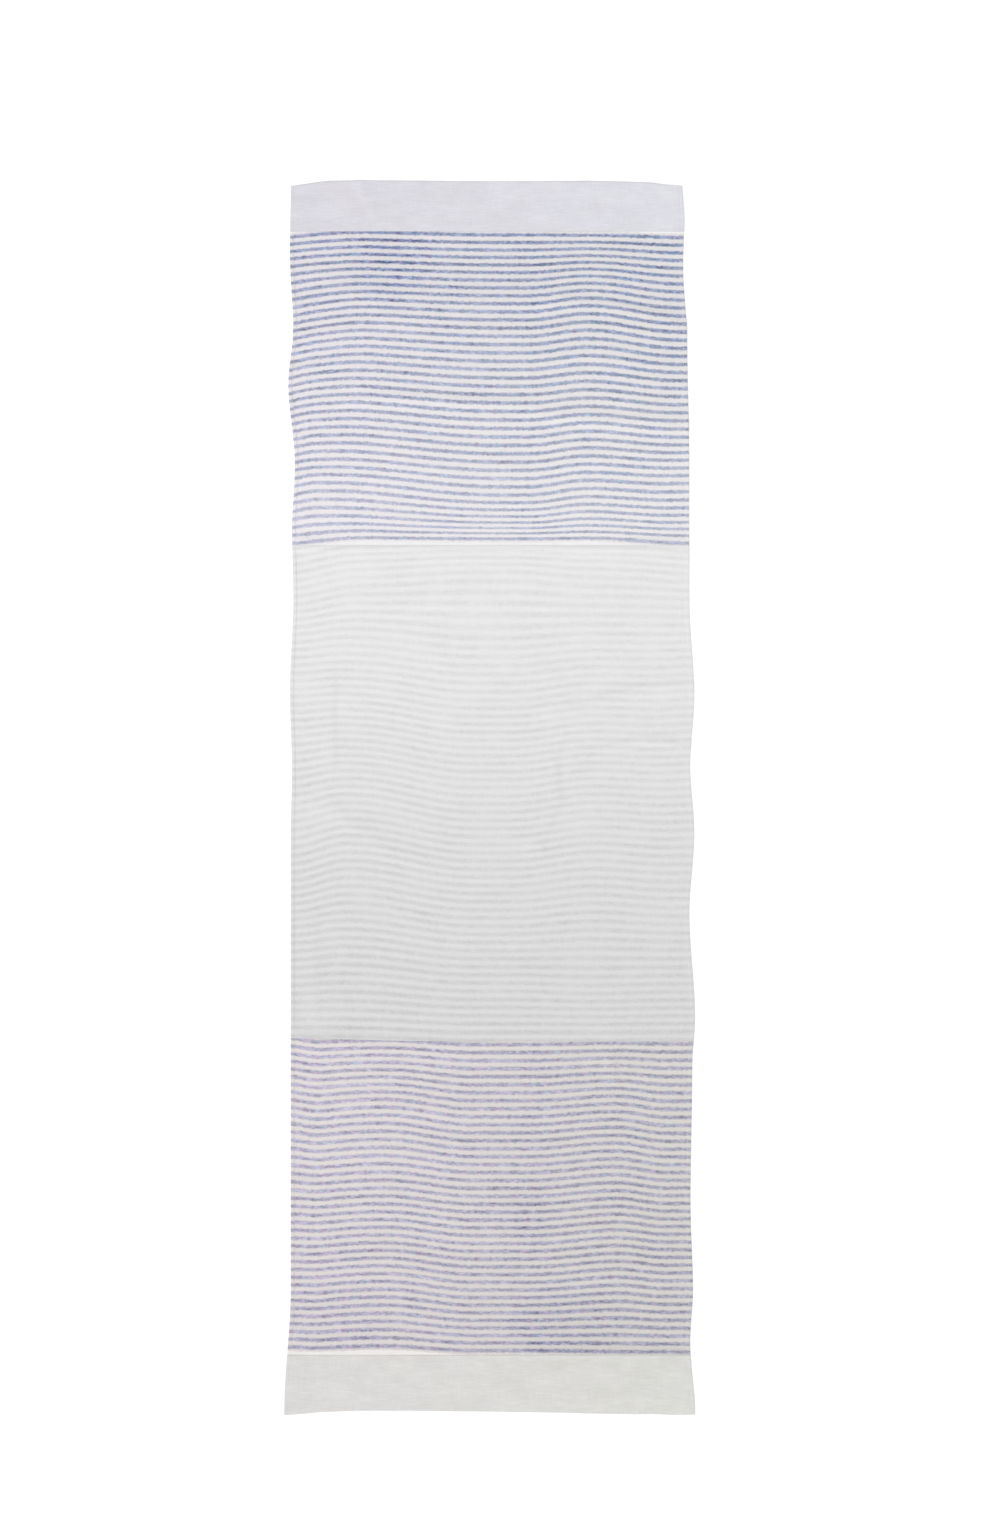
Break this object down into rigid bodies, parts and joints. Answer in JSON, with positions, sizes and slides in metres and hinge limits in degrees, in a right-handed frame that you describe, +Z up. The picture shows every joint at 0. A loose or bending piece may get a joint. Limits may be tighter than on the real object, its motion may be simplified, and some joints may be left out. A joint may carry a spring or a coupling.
{
  "type": "table runner",
  "caption": "Light woven table runner laid flat: pale end bands, a blue and a violet striped panel either side of a pale grey striped centre, joined by sewn seams that fold.",
  "frame": {"origin": "on the surface that the runner lies on, under the middle of its outline", "axes": "+X across the runner to its right side, +Y along it to the blue end, +Z up out of the cloth's face"},
  "size_m": [0.5, 1.5, 0.0018],
  "materials": {
    "plain_band_cloth": "plain undyed cotton, matt, with fine slubs along the weft",
    "blue_striped_cloth": "light cotton gauze with narrow heathered denim-blue weft stripes",
    "grey_striped_cloth": "light cotton gauze with faint pale grey weft stripes",
    "violet_striped_cloth": "light cotton gauze with narrow violet-blue weft stripes on a warm ground",
    "sewing_thread": "off-white spun sewing thread"
  },
  "bodies": {
    "centre": {"centre_panel": "grey_striped_cloth", "centre_panel_left_hem_stitching": "sewing_thread", "centre_panel_right_hem_stitching": "sewing_thread", "upper_seam_stitching": "sewing_thread", "lower_seam_stitching": "sewing_thread"},
    "upper": {"upper_panel": "blue_striped_cloth", "upper_panel_left_hem_stitching": "sewing_thread", "upper_panel_right_hem_stitching": "sewing_thread", "head_band_seam_stitching": "sewing_thread"},
    "head": {"head_band": "plain_band_cloth", "head_band_left_hem_stitching": "sewing_thread", "head_band_right_hem_stitching": "sewing_thread"},
    "lower": {"lower_panel": "violet_striped_cloth", "lower_panel_left_hem_stitching": "sewing_thread", "lower_panel_right_hem_stitching": "sewing_thread", "foot_band_seam_stitching": "sewing_thread"},
    "foot": {"foot_band": "plain_band_cloth", "foot_band_left_hem_stitching": "sewing_thread", "foot_band_right_hem_stitching": "sewing_thread"}
  },
  "joints": [
    {"name": "upper_panel_fold", "type": "hinge", "parent": "centre", "child": "upper", "pos_m": [0, 0.306, 0.004], "axis": [1, 0, 0], "range_deg": [0, 180]},
    {"name": "head_band_fold", "type": "hinge", "parent": "upper", "child": "head", "pos_m": [0, 0.688, 0.0026], "axis": [1, 0, 0], "range_deg": [0, 180]},
    {"name": "lower_panel_fold", "type": "hinge", "parent": "centre", "child": "lower", "pos_m": [0, -0.298, 0.0068], "axis": [-1, 0, 0], "range_deg": [0, 180]},
    {"name": "foot_band_fold", "type": "hinge", "parent": "lower", "child": "foot", "pos_m": [0, -0.68, 0.0026], "axis": [-1, 0, 0], "range_deg": [0, 180]}
  ]
}
